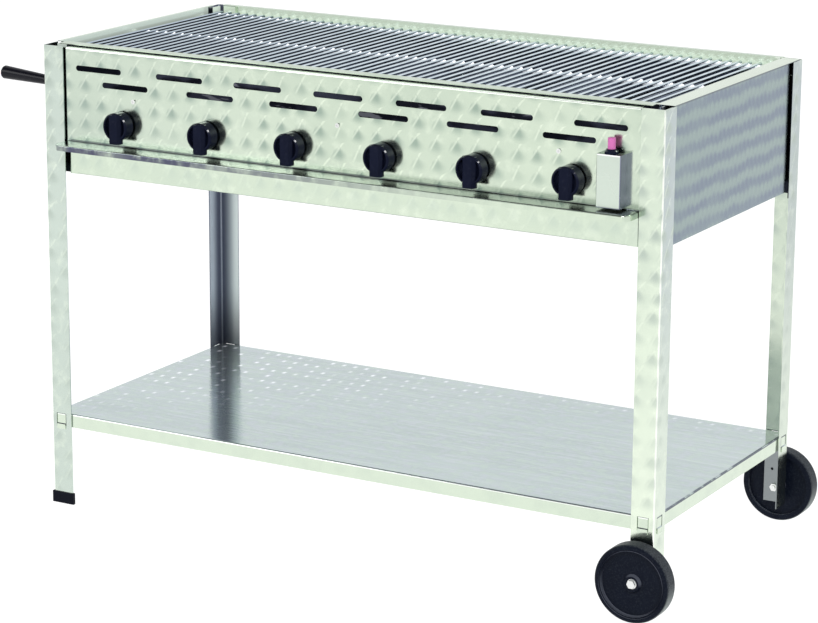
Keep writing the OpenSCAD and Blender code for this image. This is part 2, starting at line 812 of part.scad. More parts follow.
// Angle connector at the end of the pipe: it turns back, then out to the left.
module gas_inlet() {
    arm_x = -549;
    in_frame() color(brass) {
        block([arm_x - 9, pipe_y - 9, pipe_z - 9],
              [pipe_end - seam, pipe_y + 9, pipe_z + 9]);
        translate([arm_x, 0, pipe_z]) rod_y(7, pipe_y, inlet_y);
        translate([arm_x, inlet_y, pipe_z]) sphere(r = 7);
        translate([0, inlet_y, pipe_z]) rod_x(inlet_r, -half_w - 8 - inlet_thread, arm_x);
        translate([-half_w - 8, inlet_y, pipe_z]) rotate([0, 90, 0])
            cylinder(r = 10.5, h = 12.5, $fn = 6);
    }
}

// Three cross-slotted screws with their nuts, which hold the pipe to the panel.
module panel_screws() {
    head = -wall_y - 0.05;
    for (x = screw_xs)
        in_frame() color(zinc) translate([x, 0, screw_z]) {
            rod_y(2, head - 0.5, -wall_y + 8);
            difference() {
                rod_y(4, head - 2.2, head);
                for (a = [0, 90])
                    rotate([0, a, 0]) block([-2.4, head - 3, -0.4], [2.4, head - 1.2, 0.4]);
            }
            translate([0, -wall_y + sheet_t + 2 * seam + tab_t, 0])
                rotate([-90, 0, 0]) hex_nut(4, 3, 2.05);
        }
}

module stud_nuts() {
    in_frame() color(zinc) for (sx = [-1, 1], sy = [-1, 1]) {
        for (z = side_stud_zs)
            translate([sx * tail_x, sy * side_stud_y, z])
                rotate([0, sx > 0 ? -90 : 90, 0]) hex_nut(nut6_r, nut6_h, stud_r + 0.05);
        for (z = sy > 0 ? rear_stud_zs : front_stud_zs)
            translate([sx * end_stud_x, sy * tail_y, z])
                rotate([sy > 0 ? 90 : -90, 0, 0]) hex_nut(nut6_r, nut6_h, stud_r + 0.05);
    }
}

// ---------- knobs and igniter ----------

// The bar across a knob, from height z0 to z1: narrow at its front y, wide at its foot.
module grip_bar(y, z0, z1) {
    ridge = grip_ridge / 2;
    base = grip_base / 2;
    translate([0, y, z0]) linear_extrude(height = z1 - z0)
        polygon([
            [-ridge, 0], [ridge, 0], [base, grip_slope], [base, grip_bar_depth + eps],
            [-base, grip_bar_depth + eps], [-base, grip_slope]
        ]);
}

module knob(i) {
    y0 = -knob_back;
    y1 = -knob_front;
    in_frame() color(black) translate([burner_xs[i - 1], 0, knob_z]) difference() {
        union() {
            rod_y(knob_r, y1 + 2, y0);
            translate([0, y1 + 2, 0]) rotate([90, 0, 0])
                cylinder(r1 = knob_r, r2 = knob_r - 2, h = 2);
            // grip bar with the pointer tail that reaches past the rim
            grip_bar(y1 - grip_bar_out, -knob_r - knob_tail, knob_r - 2.5);
        }
        // hollows on both sides of the grip bar
        difference() {
            rod_y(knob_r - 4, y1 - 1, y1 - grip_bar_out + grip_bar_depth);
            grip_bar(y1 - grip_bar_out, -knob_r, knob_r);
        }
        // D-shaped socket, deep and short enough for the knob to be pushed in
        difference() {
            rod_y(spindle_r + fit, socket_end, y0 + 1);
            block([-spindle_r - 1, socket_end - 1, flat_z + fit],
                  [spindle_r + 1, socket_flat_end, spindle_r + 1]);
        }
    }
}

// Sheet hood over the igniter, open at the bottom and towards the panel.
module igniter_box() {
    w = box_w / 2;
    t = sheet_t;
    y0 = -wall_y - box_d;
    in_frame() color(steel) translate([igniter_x, 0, 0]) difference() {
        union() {
            translate([0, y0, box_z]) linear_extrude(height = box_top - box_z) {
                translate([-w + bend_r, 0]) square([2 * (w - bend_r), t]);
                for (s = [-1, 1]) translate([s * w, 0]) mirror([s > 0 ? 1 : 0, 0])
                    bent_sheet(bend_r + 1, box_d - 0.05, t);
            }
            translate([0, 0, box_top - t]) linear_extrude(height = t) {
                translate([-w, y0 + bend_r]) square([2 * w, box_d - bend_r - 0.05]);
                translate([-w + bend_r, y0]) square([2 * (w - bend_r), bend_r + 1]);
                for (s = [-1, 1])
                    translate([s * (w - bend_r), y0 + bend_r]) circle(r = bend_r);
            }
        }
        translate([0, igniter_y, box_top - 3]) cylinder(r = neck_r + 0.3, h = 5);
    }
}

module igniter_body() {
    in_frame() color(black) translate([igniter_x, igniter_y, 0]) difference() {
        union() {
            translate([0, 0, 712])
                cylinder(r = collar_r, h = box_top - sheet_t - 0.1 - 712);
            translate([0, 0, 740]) cylinder(r = neck_r, h = neck_top - 740);
            translate([0, 0, 706]) cylinder(r = 3, h = 7);
        }
        translate([0, 0, button_bottom - 8])
            cylinder(r = button_r + fit, h = neck_top - button_bottom + 9);
        translate([0, 0, 705]) cylinder(r = 1.6, h = 5);
    }
}

module igniter_nut() {
    in_frame() color(black) translate([igniter_x, igniter_y, box_top + 0.1])
        difference() {
            union() {
                cylinder(r = nut_r, h = nut_h);
                translate([0, 0, nut_h])
                    cylinder(r1 = nut_r, r2 = nut_r - nut_cone, h = nut_cone);
            }
            translate([0, 0, -1]) cylinder(r = neck_r + 0.1, h = 12);
            // grip grooves
            for (a = [0:30:330]) rotate([0, 0, a])
                translate([nut_r + 0.7, 0, -1]) cylinder(r = 1.2, h = 12, $fn = 16);
        }
}

module igniter_button() {
    in_frame() color([0.85, 0.35, 0.62]) translate([igniter_x, igniter_y, 0]) {
        translate([0, 0, button_bottom])
            cylinder(r = button_r, h = button_top - 1 - button_bottom);
        translate([0, 0, button_top - 1]) cylinder(r1 = button_r, r2 = button_r - 1, h = 1);
    }
}

// High-voltage lead, clipped in the valve space: from the igniter to the electrode.
module ignition_lead() {
    r = 1.5;
    route = [
        [igniter_x, igniter_y, 708], [igniter_x, igniter_y, 697],
        [igniter_x, igniter_y + 5, lead_hole_z], [igniter_x, -232, lead_hole_z],
        [electrode_x + 6, -226, lead_hole_z + 6], [electrode_x, -224, electrode_z - 8],
        [electrode_x, -222.5, electrode_z]
    ];
    in_frame() color(black) for (i = [0:len(route) - 2]) hull() {
        translate(route[i]) sphere(r = r, $fn = 10);
        translate(route[i + 1]) sphere(r = r, $fn = 10);
    }
}

module electrode() {
    in_frame() color([0.93, 0.92, 0.88]) translate([electrode_x, 0, electrode_z]) {
        rod_y(4, -221, liner_y + 12);
        rod_y(5.6, liner_y - sheet_t - 3.2, liner_y - sheet_t - 0.1);
        rod_y(1.2, liner_y + 11, liner_y + 26);
        translate([0, liner_y + 26, 0]) sphere(r = 1.2, $fn = 16);
        translate([0, liner_y + 26, 0]) rotate([0, -90, 0]) cylinder(r = 1.2, h = 9, $fn = 16);
    }
}

// ---------- tray and handles ----------

module drip_tray() {
    hx = tray_w / 2;
    t = 1;
    in_frame() color(zinc) {
        difference() {
            block([-hx, tray_front, tray_z], [hx, tray_rear, tray_z + tray_h]);
            block([-hx + t, tray_front + t, tray_z + t],
                  [hx - t, tray_rear - t, tray_z + tray_h + 1]);
        }
        // pull lip along the back
        block([-90, tray_rear - t, tray_z + tray_h - t],
              [90, tray_rear + 9, tray_z + tray_h]);
    }
}

module handle(sy) {
    in_frame() color(black) translate([-half_w, sy * grip_y, grip_z]) {
        rotate([0, -90 + grip_tilt, 0]) difference() {
            union() {
                cylinder(r1 = grip_r1, r2 = grip_r2, h = grip_l - 4);
                translate([0, 0, grip_l - 4]) cylinder(r1 = grip_r2, r2 = grip_r2 - 1.2, h = 2.4);
                translate([0, 0, grip_l - 1.6])
                    cylinder(r1 = grip_r2 - 1.2, r2 = grip_r2 - 4.5, h = 1.6);
            }
            // cut square to the leg
            rotate([0, 90 - grip_tilt, 0]) block([-0.05, -20, -20], [20, 20, 20]);
        }
        rod_x(bolt_r, -6, leg_t + nut8_h + 3);
    }
}

// ---------- nodes ----------

leg(-1, -1);  // leg_front_left
leg(-1, 1);  // leg_rear_left
leg(1, -1);  // leg_front_right
leg(1, 1);  // leg_rear_right
foot(-1);  // foot_front_left
foot(1);  // foot_rear_left
shelf();
wheel(-1);  // wheel_front
wheel(1);  // wheel_rear
axle_bolts();
m8_nuts();
left_wall();
right_wall();
rear_wall();
front_wall();
control_panel();
front_liner();
rear_rail();
drip_tray();
grate(grate_left_x, rods_left);  // grate_left
grate(grate_right_x, rods_right);  // grate_right
for (i = [1:3])
    flame_tamer(i);
for (i = [1:6]) {
    burner(i);
    gas_valve(i);
    valve_spindle(i);
    knob(i);
}
manifold_pipe();
gas_inlet();
panel_screws();
stud_nuts();
igniter_box();
igniter_body();
igniter_nut();
igniter_button();
handle(-1);  // handle_front
handle(1);  // handle_rear
ignition_lead();
electrode();
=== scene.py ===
"""Looks of the six-burner gas roaster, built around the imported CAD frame. Metres, same frame as the CAD."""

import math

import bmesh
import bpy
from mathutils import Matrix, Vector


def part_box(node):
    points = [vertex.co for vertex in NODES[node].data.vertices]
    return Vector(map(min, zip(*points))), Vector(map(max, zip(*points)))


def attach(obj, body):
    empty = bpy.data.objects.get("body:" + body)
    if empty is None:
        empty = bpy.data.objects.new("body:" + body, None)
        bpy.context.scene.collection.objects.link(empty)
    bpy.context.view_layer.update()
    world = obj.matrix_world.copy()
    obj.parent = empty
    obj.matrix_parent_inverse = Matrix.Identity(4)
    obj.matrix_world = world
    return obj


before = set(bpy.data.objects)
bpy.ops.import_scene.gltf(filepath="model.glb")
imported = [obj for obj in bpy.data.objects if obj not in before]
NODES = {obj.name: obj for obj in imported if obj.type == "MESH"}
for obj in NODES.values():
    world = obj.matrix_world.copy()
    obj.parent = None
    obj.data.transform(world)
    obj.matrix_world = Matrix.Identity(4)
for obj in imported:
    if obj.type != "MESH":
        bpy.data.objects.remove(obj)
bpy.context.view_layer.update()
MM = 0.001

# ---------------------------------------------------------------- places taken from the frame

panel_lo, panel_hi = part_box("control_panel")
stand_lo, stand_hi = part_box("leg_front_left")[0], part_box("leg_rear_right")[1]
STAND_MID = Vector(((stand_lo.x + stand_hi.x) / 2, (stand_lo.y + stand_hi.y) / 2, 0))
SHEET_INSET = 5 * MM  # the body sheets lie this far inside the legs' outer faces
PANEL_FACE = stand_lo.y + SHEET_INSET
SIDE_FACE = stand_hi.x - SHEET_INSET
SHELF_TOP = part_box("shelf")[1].z
SHELF_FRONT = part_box("shelf")[0].y
SHELF_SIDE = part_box("shelf")[1].x
RIM_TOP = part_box("right_wall")[1].z
LIP_FRONT = panel_lo.y
STRIP_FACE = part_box("front_wall")[0].y
LINER_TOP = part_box("front_liner")[1].z
WHEEL_MID = (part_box("wheel_front")[0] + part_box("wheel_front")[1]) / 2
BODY_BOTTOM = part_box("front_wall")[0].z
GRATE_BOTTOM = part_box("grate_left")[0].z
CROSS_ROD_D = 7 * MM
HOOD_GAP = 4 * MM  # between the ledge and the igniter's hood
LEDGE_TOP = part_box("igniter_box")[0].z - HOOD_GAP
HOOD_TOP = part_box("igniter_box")[1].z
TAIL_DEPTH = 2.9 * MM  # what lies deeper than this behind a sheet's face is its tail in a slit

# ---------------------------------------------------------------- colours of the sheets

STEEL = (0.62, 0.71, 0.58)
# colour of the random clouds and of the painted shade in each spot's dark fan
STEEL_DARK = (0.33, 0.42, 0.35)
# colour of the random light blotches and of the painted highlights
STEEL_LIGHT = (0.88, 0.96, 0.80)
# the strip's clouds and the painted shade of its dark fans
STRIP_SHADE_AND_CLOUD = (0.48, 0.57, 0.50)
LEG_STEEL = (0.66, 0.75, 0.62)
# the legs' clouds and the painted shade of their dark fans
LEG_SHADE_AND_CLOUD = (0.42, 0.49, 0.44)
# painted shade of the legs on the grip side, and of their faces that look sideways
LEG_LEFT_SHADE = (0.56, 0.64, 0.58)
LEG_SIDE_SHADE = (0.46, 0.52, 0.54)
# painted highlight along the legs' bends
LEG_BEND_HIGHLIGHT = (0.97, 0.99, 0.93)
SHELF_STEEL = (0.53, 0.62, 0.60)
DEEP_SHADE = (0.012, 0.014, 0.02)  # painted shade: the colour of sheet that stands in the dark
WHITE = (1.0, 1.0, 1.0)


def six(name):
    """The names of six equal nodes, one for each burner."""
    return [f"{name}_{i}" for i in range(1, 7)]


# ---------------------------------------------------------------- camera

CAMERA_TURNS = (29.53, 14.53, 0.36)  # yaw, pitch and roll, in degrees
CAMERA_PLACE = (2.49574, -4.43673, 1.69739)  # from the middle of the stand
CAMERA_SENSOR = 36.0  # width, in millimetres
CAMERA_LENS = 129.08  # focal length, in millimetres


def make_camera():
    """The photograph's viewpoint, placed from the middle of the stand."""
    yaw, pitch, roll = (math.radians(a) for a in CAMERA_TURNS)
    ahead = Vector((-math.sin(yaw) * math.cos(pitch), math.cos(yaw) * math.cos(pitch), -math.sin(pitch)))
    right = Vector((math.cos(yaw), math.sin(yaw), 0))
    up = right.cross(ahead)
    right_rolled = right * math.cos(roll) + up * math.sin(roll)
    up_rolled = up * math.cos(roll) - right * math.sin(roll)
    data = bpy.data.cameras.new("camera")
    data.sensor_width = CAMERA_SENSOR
    data.lens = CAMERA_LENS
    data.clip_start = 0.1
    data.clip_end = 200
    camera = bpy.data.objects.new("camera", data)
    place = Matrix((right_rolled, up_rolled, -ahead)).transposed().to_4x4()
    place.translation = STAND_MID + Vector(CAMERA_PLACE)
    camera.matrix_world = place
    bpy.context.scene.collection.objects.link(camera)
    bpy.context.scene.camera = camera


# ---------------------------------------------------------------- shader building blocks


class Shader:
    """One material's node tree, with short calls for the nodes that the looks need."""

    def __init__(self, name):
        self.material = bpy.data.materials.new(name)
        self.material.use_nodes = True
        self.tree = self.material.node_tree
        self.tree.nodes.clear()
        self.output = self.tree.nodes.new("ShaderNodeOutputMaterial")
        self.principled = self.tree.nodes.new("ShaderNodeBsdfPrincipled")
        self.link(self.principled.outputs["BSDF"], self.output.inputs["Surface"])

    def link(self, a, b):
        self.tree.links.new(a, b)

    def put(self, socket, value):
        """Links value to socket if it is a socket, else stores it as the socket's own value."""
        if isinstance(value, bpy.types.NodeSocket):
            self.link(value, socket)
        elif isinstance(value, (tuple, list)) and len(value) == 3 and socket.type == "RGBA":
            socket.default_value = (*value, 1)
        else:
            socket.default_value = value

    def set(self, **values):
        """Sets the Principled shader's sockets: base_color stands for Base Color, and so on."""
        for key, value in values.items():
            self.put(self.principled.inputs[SOCKETS[key]], value)

    def node(self, kind, inputs=(), out=0, **settings):
        n = self.tree.nodes.new("ShaderNode" + kind)
        for key, value in settings.items():
            setattr(n, key, value)
        for key, value in dict(inputs).items():
            self.put(n.inputs[key], value)
        return n.outputs[out]

    def math(self, operation, a, b=0.0, c=0.0):
        return self.node("Math", {0: a, 1: b, 2: c}, operation=operation)

    def times(self, a, b):
        return self.math("MULTIPLY", a, b)

    def scaled(self, a, by, plus):
        """a * by + plus."""
        return self.math("MULTIPLY_ADD", a, by, plus)

    def size(self, a):
        """a without its sign."""
        return self.math("ABSOLUTE", a)

    def above(self, a, limit):
        """1 where a is more than limit, else 0."""
        return self.math("GREATER_THAN", a, limit)

    def below(self, a, limit):
        """1 where a is less than limit, else 0."""
        return self.math("LESS_THAN", a, limit)

    def vector(self, operation, a, b=(0, 0, 0), scale=None, out=0):
        inputs = {0: a, 1: b} if scale is None else {0: a, "Scale": scale}
        return self.node("VectorMath", inputs, out, operation=operation)

    def blend(self, factor, a, b):
        """Colour a where factor is 0, colour b where it is 1."""
        return self.node("Mix", {0: factor, 6: a, 7: b}, 2, data_type="RGBA")

    def pick(self, factor, a, b):
        """Vector a where factor is 0, vector b where it is 1."""
        return self.node("Mix", {0: factor, 4: a, 5: b}, 1, data_type="VECTOR")

    def ramp(self, value, low, high, to_low=0.0, to_high=1.0, smooth=True):
        """value from low..high becomes to_low..to_high, and is clamped there."""
        kind = "SMOOTHSTEP" if smooth else "LINEAR"
        inputs = {0: value, 1: low, 2: high, 3: to_low, 4: to_high}
        return self.node("MapRange", inputs, interpolation_type=kind)

    def noise(self, place, scale, detail, roughness=0.5):
        inputs = {"Vector": place, "Scale": scale, "Detail": detail, "Roughness": roughness}
        return self.node("TexNoise", inputs, "Fac")

    def drawn_noise(self, scales, detail=3.0):
        """Noise with its own scale along each axis."""
        return self.noise(self.vector("MULTIPLY", self.here(), scales), 1.0, detail)

    def luck(self, dimensions, where, out):
        """A random number (out is "Value") or colour (out is "Color") for each whole number or pair."""
        key = "W" if dimensions == "1D" else "Vector"
        return self.node("TexWhiteNoise", {key: where}, out, noise_dimensions=dimensions)

    def here(self):
        """The place on the object, in metres."""
        return self.node("TexCoord", (), "Object")

    def height(self):
        """The height above the floor, in metres."""
        return self.split(self.here())[2]

    def split(self, v):
        n = self.tree.nodes.new("ShaderNodeSeparateXYZ")
        self.put(n.inputs[0], v)
        return n.outputs[0], n.outputs[1], n.outputs[2]

    def join(self, x, y, z=0.0):
        return self.node("CombineXYZ", {0: x, 1: y, 2: z})

    def bump(self, height, distance, strength):
        return self.node("Bump", {"Height": height, "Distance": distance, "Strength": strength})


SOCKETS = {
    "base_color": "Base Color",
    "metallic": "Metallic",
    "roughness": "Roughness",
    "normal": "Normal",
    "anisotropic": "Anisotropic",
    "tangent": "Tangent",
    "coat": "Coat Weight",
    "coat_roughness": "Coat Roughness",
    "specular": "Specular IOR Level",
    "glow": "Emission Color",
    "glow_strength": "Emission Strength",
}

# ---------------------------------------------------------------- steel with engine-turned spots

SPOT_PITCH_U = 37.5 * MM  # across the sheet
SPOT_PITCH_V = 34.5 * MM  # up the sheet
SPOT_R = 27.5 * MM
ROW_SHIFT = 0.45  # most that a row is shifted sideways, in pitches
SPOT_JITTER = (0.08, 0.07, 0)  # most that a spot is out of its place, in pitches
TURNED_ROUGHNESS = 0.15
# each spot's reflection is painted: a dark fan of painted shade and a bright line of painted highlight
FAN_TURN = 0.26  # the fan's direction below the horizontal, in turns
FAN_WIDTH = 0.21  # the fan's half width, in turns
FAN_REACH = 30 * MM  # from the spot's middle
GLINT_TURN = 1.34  # the painted highlight's direction, in turns
GLINT_WIDTH = 1.05 * MM
GLINT_REACH = 27 * MM  # from the spot's middle
GROOVE = 0.35 * MM  # width of one groove of the brush
PAINTED_REFLECTION_FADE = (0.25, 0.80)  # heights between which the painted reflection marks of the legs fade in
FACING = 0.7  # a face looks along an axis where its normal has more than this of it


def normal_of(s):
    """The direction in which the face looks, as three numbers."""
    return s.split(s.node("NewGeometry", (), "Normal"))


def face_axes(s):
    """Across and up directions of the sheet at this point, from the way its face looks."""
    nx, _, nz = normal_of(s)
    on_side = s.above(s.size(nx), FACING)
    on_top = s.above(s.size(nz), FACING)
    across = s.pick(on_side, (1, 0, 0), (0, 1, 0))
    up = s.pick(on_top, (0, 0, 1), (0, 1, 0))
    return across, up


def spot_layer(s, across, up):
    """The topmost brushed spot at this point: the way from its middle, and a random number of its own.
    Each spot lies partly over its right neighbour and over the row below."""
    place = s.here()
    u = s.math("DIVIDE", s.vector("DOT_PRODUCT", place, across, out=1), SPOT_PITCH_U)
    v = s.math("DIVIDE", s.vector("DOT_PRODUCT", place, up, out=1), SPOT_PITCH_V)
    row_below = s.math("FLOOR", v)
    way = (0.0, 0.0, 0.0)
    own = 0.5
    for row_step in (0, 1):
        row = s.math("ADD", row_below, row_step)
        shifted = s.scaled(s.luck("1D", row, "Value"), ROW_SHIFT, u)
        first = s.math("FLOOR", shifted)
        for spot_step in (1, 0):
            spot = s.math("ADD", first, spot_step)
            luck = s.luck("2D", s.join(spot, row), "Color")
            from_place = s.join(s.math("SUBTRACT", shifted, spot), s.math("SUBTRACT", v, row))
            away = s.vector("SUBTRACT", from_place, s.vector("MULTIPLY", luck, SPOT_JITTER))
            in_metres = s.vector("MULTIPLY", away, (SPOT_PITCH_U, SPOT_PITCH_V, 0))
            covers = s.below(s.vector("LENGTH", in_metres, out=1), SPOT_R)
            way = s.pick(covers, way, in_metres)
            own = s.node("Mix", {0: covers, 2: own, 3: s.split(luck)[2]}, 0, data_type="FLOAT")
    return way, own


def turned_steel(name, colour, dark, shade_fan_part=1.0, glint_part=0.4, fades=False, painted_light=None, shade=None):
    """Stainless sheet with overlapping circular brushed spots. Each spot shows a painted reflection: a dark
    fan of painted shade on one side of its middle and a thin bright line of painted highlight through it. Its
    fine grooves run round its middle. The two part arguments are the strengths of the two painted marks, and
    fades lets them fade towards the foot. The painted light argument is a function that paints light and
    shade into the sheet's colour by place, under the marks. shade is one that paints light and shade over the
    whole look."""
    s = Shader(name)
    across, up = face_axes(s)
    way, own = spot_layer(s, across, up)
    x, y, _ = s.split(way)
    from_middle = s.vector("LENGTH", way, out=1)
    # angle round the spot's middle, in turns from -0.5 to 0.5, each spot turned a little
    angle = s.math("DIVIDE", s.math("ARCTAN2", y, x), 2 * math.pi)
    angle = s.math("ADD", angle, s.scaled(own, 0.05, -0.025))
    # painted shade: the dark fan of the spot's reflection
    shade_fan = s.ramp(s.size(s.math("ADD", angle, FAN_TURN)), FAN_WIDTH, 0.02)
    shade_fan = s.times(shade_fan, s.ramp(from_middle, 0.0, 8 * MM, 0.35, 1.0))
    shade_fan = s.times(shade_fan, s.ramp(from_middle, FAN_REACH, 0.4 * FAN_REACH))
    shade_fan = s.times(shade_fan, s.ramp(own, -0.4, 0.8, 0.0, shade_fan_part))
    # painted highlight: the bright line of the spot's reflection
    line_off = s.math("PINGPONG", s.math("ADD", angle, GLINT_TURN), 0.25)
    line_width = s.math("DIVIDE", GLINT_WIDTH, s.math("MAXIMUM", from_middle, 3 * MM))
    glint = s.ramp(s.math("DIVIDE", line_off, line_width), 0.5, 0.0)
    glint = s.times(glint, s.ramp(from_middle, GLINT_REACH, 16 * MM))
    if fades:
        stays = s.ramp(s.height(), *PAINTED_REFLECTION_FADE, 0.45, 1.0)
        shade_fan = s.times(shade_fan, stays)
        glint = s.times(glint, stays)
    cloud = s.noise(s.here(), 6.0, 3.0)
    blotch = s.noise(s.here(), 45.0, 3.0)
    grooves = s.luck("1D", s.math("FLOOR", s.math("DIVIDE", from_middle, GROOVE)), "Value")
    plain = colour if painted_light is None else painted_light(s, colour)
    tone = s.blend(s.ramp(cloud, 0.35, 0.7, 0.0, 0.22), plain, dark)
    tone = s.blend(s.ramp(blotch, 0.5, 0.75, 0.0, 0.25), tone, STEEL_LIGHT)
    tone = s.blend(shade_fan, tone, dark)
    tone = s.blend(s.times(glint, glint_part), tone, STEEL_LIGHT)
    tone = s.blend(s.times(grooves, 0.10), tone, [c * 0.82 for c in colour])
    s.set(metallic=1.0)
    if shade is not None:
        tone = shade(s, tone)
    s.set(base_color=tone, anisotropic=0.35)
    rough = s.scaled(shade_fan, 0.03, s.scaled(cloud, 0.06, TURNED_ROUGHNESS - 0.03))
    s.set(roughness=s.scaled(grooves, 0.03, rough))
    round_x = s.vector("SCALE", up, scale=x)
    round_y = s.vector("SCALE", across, scale=s.times(y, -1.0))
    s.set(tangent=s.vector("NORMALIZE", s.vector("ADD", round_x, round_y)))
    dish = s.times(from_middle, -0.002)
    relief = s.scaled(grooves, 0.000003, dish)
    s.set(normal=s.bump(relief, 1.0, 0.6))
    return s.material


LEG_BEND = 4.5 * MM  # how far the painted highlight along the bend reaches from a leg's outer faces


def leg_painted_light(s, colour):
    """Leg sheet, with painted light: lighter towards the foot on the wheel side, painted shade on the grip
    side's legs and, cooler and mostly in the upper half, on the faces that look sideways, and a painted
    highlight along the bend."""
    nx, ny, _ = normal_of(s)
    x, _, z = s.split(s.here())
    on_left = s.below(x, STAND_MID.x)
    # painted light: the wheel side's legs are lighter towards the foot
    low_right_light = s.times(s.ramp(z, 0.75, 0.15, 0.0, 0.55), s.math("SUBTRACT", 1.0, on_left))
    tone = s.blend(low_right_light, colour, STEEL_LIGHT)
    # painted shade on the grip side's legs
    tone = s.blend(on_left, tone, LEG_LEFT_SHADE)
    # painted shade on the faces that look sideways
    sideways = s.above(s.size(nx), FACING)
    tone = s.blend(s.times(sideways, s.ramp(z, 0.15, 0.80, 0.2, 1.0)), tone, LEG_SIDE_SHADE)
    # painted highlight along the bend
    bend_highlight = s.size(s.times(nx, ny))
    return s.blend(s.ramp(bend_highlight, 0.2, 0.4), tone, LEG_BEND_HIGHLIGHT)


def wheel_leg_shade(s, colour):
    """Rear leg of the wheel side: painted shade inside the body, in the shelf's shade below the shelf, and a
    little all over.
    """
    z = s.height()
    inward = s.below(normal_of(s)[1], -FACING)
    under_shelf = s.ramp(z, SHELF_TOP, SHELF_TOP - 30 * MM)
    tone = s.blend(s.times(under_shelf, inward), colour, (0.24, 0.26, 0.27))
    in_body = s.above(z, BODY_BOTTOM - 11 * MM)  # painted shade where the slit shows it
    # painted shade: the whole leg a little darker
    tone = s.blend(0.14, tone, (0.22, 0.25, 0.24))
    return s.blend(s.times(in_body, inward), tone, DEEP_SHADE)


def far_leg_shade(s, colour):
    """Rear leg of the grip side: its two inner faces stand in the corner's painted shade, darkest at the bend
    and at the shelf, with a thin painted highlight along the bend."""
    nx, ny, _ = normal_of(s)
    x, y, z = s.split(s.here())
    side = s.above(nx, FACING)
    rear = s.below(ny, -FACING)
    from_side = s.math("SUBTRACT", x, stand_lo.x)
    from_rear = s.math("SUBTRACT", stand_hi.y, y)
    # painted shade across the inner faces, darkest towards the corner
    side_tone = s.blend(s.ramp(from_rear, 12 * MM, 34 * MM), (0.16, 0.18, 0.255), (0.60, 0.67, 0.76))
    rear_tone = s.blend(s.ramp(from_side, 6 * MM, 40 * MM), (0.135, 0.155, 0.215), (0.78, 0.87, 0.85))
    tone = s.blend(side, s.blend(rear, colour, rear_tone), side_tone)
    inner = s.math("MAXIMUM", side, rear)
    at_bend = s.times(s.below(from_side, LEG_BEND), s.below(from_rear, LEG_BEND))
    # painted highlight along the bend
    tone = s.blend(s.times(at_bend, inner), tone, (0.42, 0.46, 0.55))
    # painted shade, darkest at the shelf
    foot_shade = s.times(inner, s.ramp(z, SHELF_TOP + 130 * MM, SHELF_TOP, 0.0, 0.75))
    # the inner faces are less metallic, so they keep their painted shade
    s.set(metallic=s.scaled(inner, -0.9, 1.0))
    return s.blend(foot_shade, tone, (0.025, 0.028, 0.045))


def rear_wall_painted_glow(s, colour):
    """Rear wall: its upper inner face, over the grates, glows with painted light."""
    inward = s.below(normal_of(s)[1], -FACING)
    # painted light: the face over the grates is darkened and glows
    over_grates = s.times(inward, s.ramp(s.height(), RIM_TOP - 40 * MM, RIM_TOP - 30 * MM))
    s.set(glow=(0.60, 0.70, 0.56), glow_strength=s.times(over_grates, 0.75))
    return s.blend(over_grates, colour, (0.30, 0.35, 0.30))


PANEL_BEND = 2.6 * MM  # size of the top bend's painted highlight


def panel_shades(s, colour):
    """Control panel: painted shade, a little darker towards the grip side, on the ledge top and on dark tails
    in the slits; a thin painted shadow at the foot, painted dark reflection on the lip's left part, and a
    glowing painted highlight along the top bend."""
    x, y, z = s.split(s.here())
    nz = normal_of(s)[2]
    flat = s.below(s.size(nz), 0.5)
    # painted shade, a little darker towards the grip side
    tone = s.blend(s.ramp(x, panel_lo.x, STAND_MID.x, 0.22, 0.0, smooth=False), colour, (0.34, 0.40, 0.42))
    # painted shade on the tails in the slits
    shaded_tail = s.above(y, PANEL_FACE + TAIL_DEPTH)
    tone = s.blend(s.times(shaded_tail, flat), tone, DEEP_SHADE)
    at_face = s.above(y, PANEL_FACE - 3 * MM)
    # painted shade on the ledge top
    ledge_shade = s.times(s.above(nz, 0.8), s.below(z, LEDGE_TOP + 1 * MM))
    tone = s.blend(s.times(ledge_shade, 0.75), tone, (0.56, 0.61, 0.56))
    # painted shadow at the foot of the panel
    foot_shade = s.times(at_face, s.ramp(z, LEDGE_TOP + 4.2 * MM, LEDGE_TOP + 1.6 * MM, 0.0, 0.8))
    foot_shade = s.times(foot_shade, s.ramp(x, panel_lo.x + 25 * MM, panel_lo.x + 40 * MM))
    foot_shade = s.times(foot_shade, s.ramp(x, STAND_MID.x, panel_hi.x, 1.0, 0.4))
    tone = s.blend(foot_shade, tone, (0.06, 0.07, 0.08))
    # painted dark reflection on the lip's left part, in patches and flecks
    reflection_patches = s.drawn_noise((14.0, 1.0, 1.0))
    fade = s.ramp(x, panel_lo.x + 300 * MM, panel_hi.x - 250 * MM, 1.0, 0.0, smooth=False)
    dark = s.times(s.ramp(reflection_patches, 0.66, 0.50, 0.6, 1.0), fade)
    flecks = s.drawn_noise((60.0, 1.0, 30.0))
    dark = s.times(dark, s.ramp(flecks, 0.72, 0.45, 0.6, 1.0))
    on_lip = s.times(s.below(y, LIP_FRONT + 2 * MM), s.below(nz, 0.5))
    tone = s.blend(s.times(on_lip, 0.8), tone, STEEL)
    tone = s.blend(s.times(on_lip, dark), tone, (0.095, 0.10, 0.15))
    # painted highlight along the top bend, which glows
    bend_highlight = s.times(s.above(z, panel_hi.z - PANEL_BEND), s.below(y, PANEL_FACE + PANEL_BEND))
    s.set(glow=(0.95, 1.0, 0.93), glow_strength=s.times(bend_highlight, 0.45))
    return s.blend(bend_highlight, tone, (0.90, 0.95, 0.86))


def strip_shades(s, colour):
    """Strip under the ledge: its stepped-back ends get painted shade in the slits beside the legs."""
    # painted shade on the tails in the slits
    shaded_tail = s.above(s.split(s.here())[1], STRIP_FACE + TAIL_DEPTH)
    flat = s.below(s.size(normal_of(s)[2]), 0.5)
    return s.blend(s.times(shaded_tail, flat), colour, DEEP_SHADE)


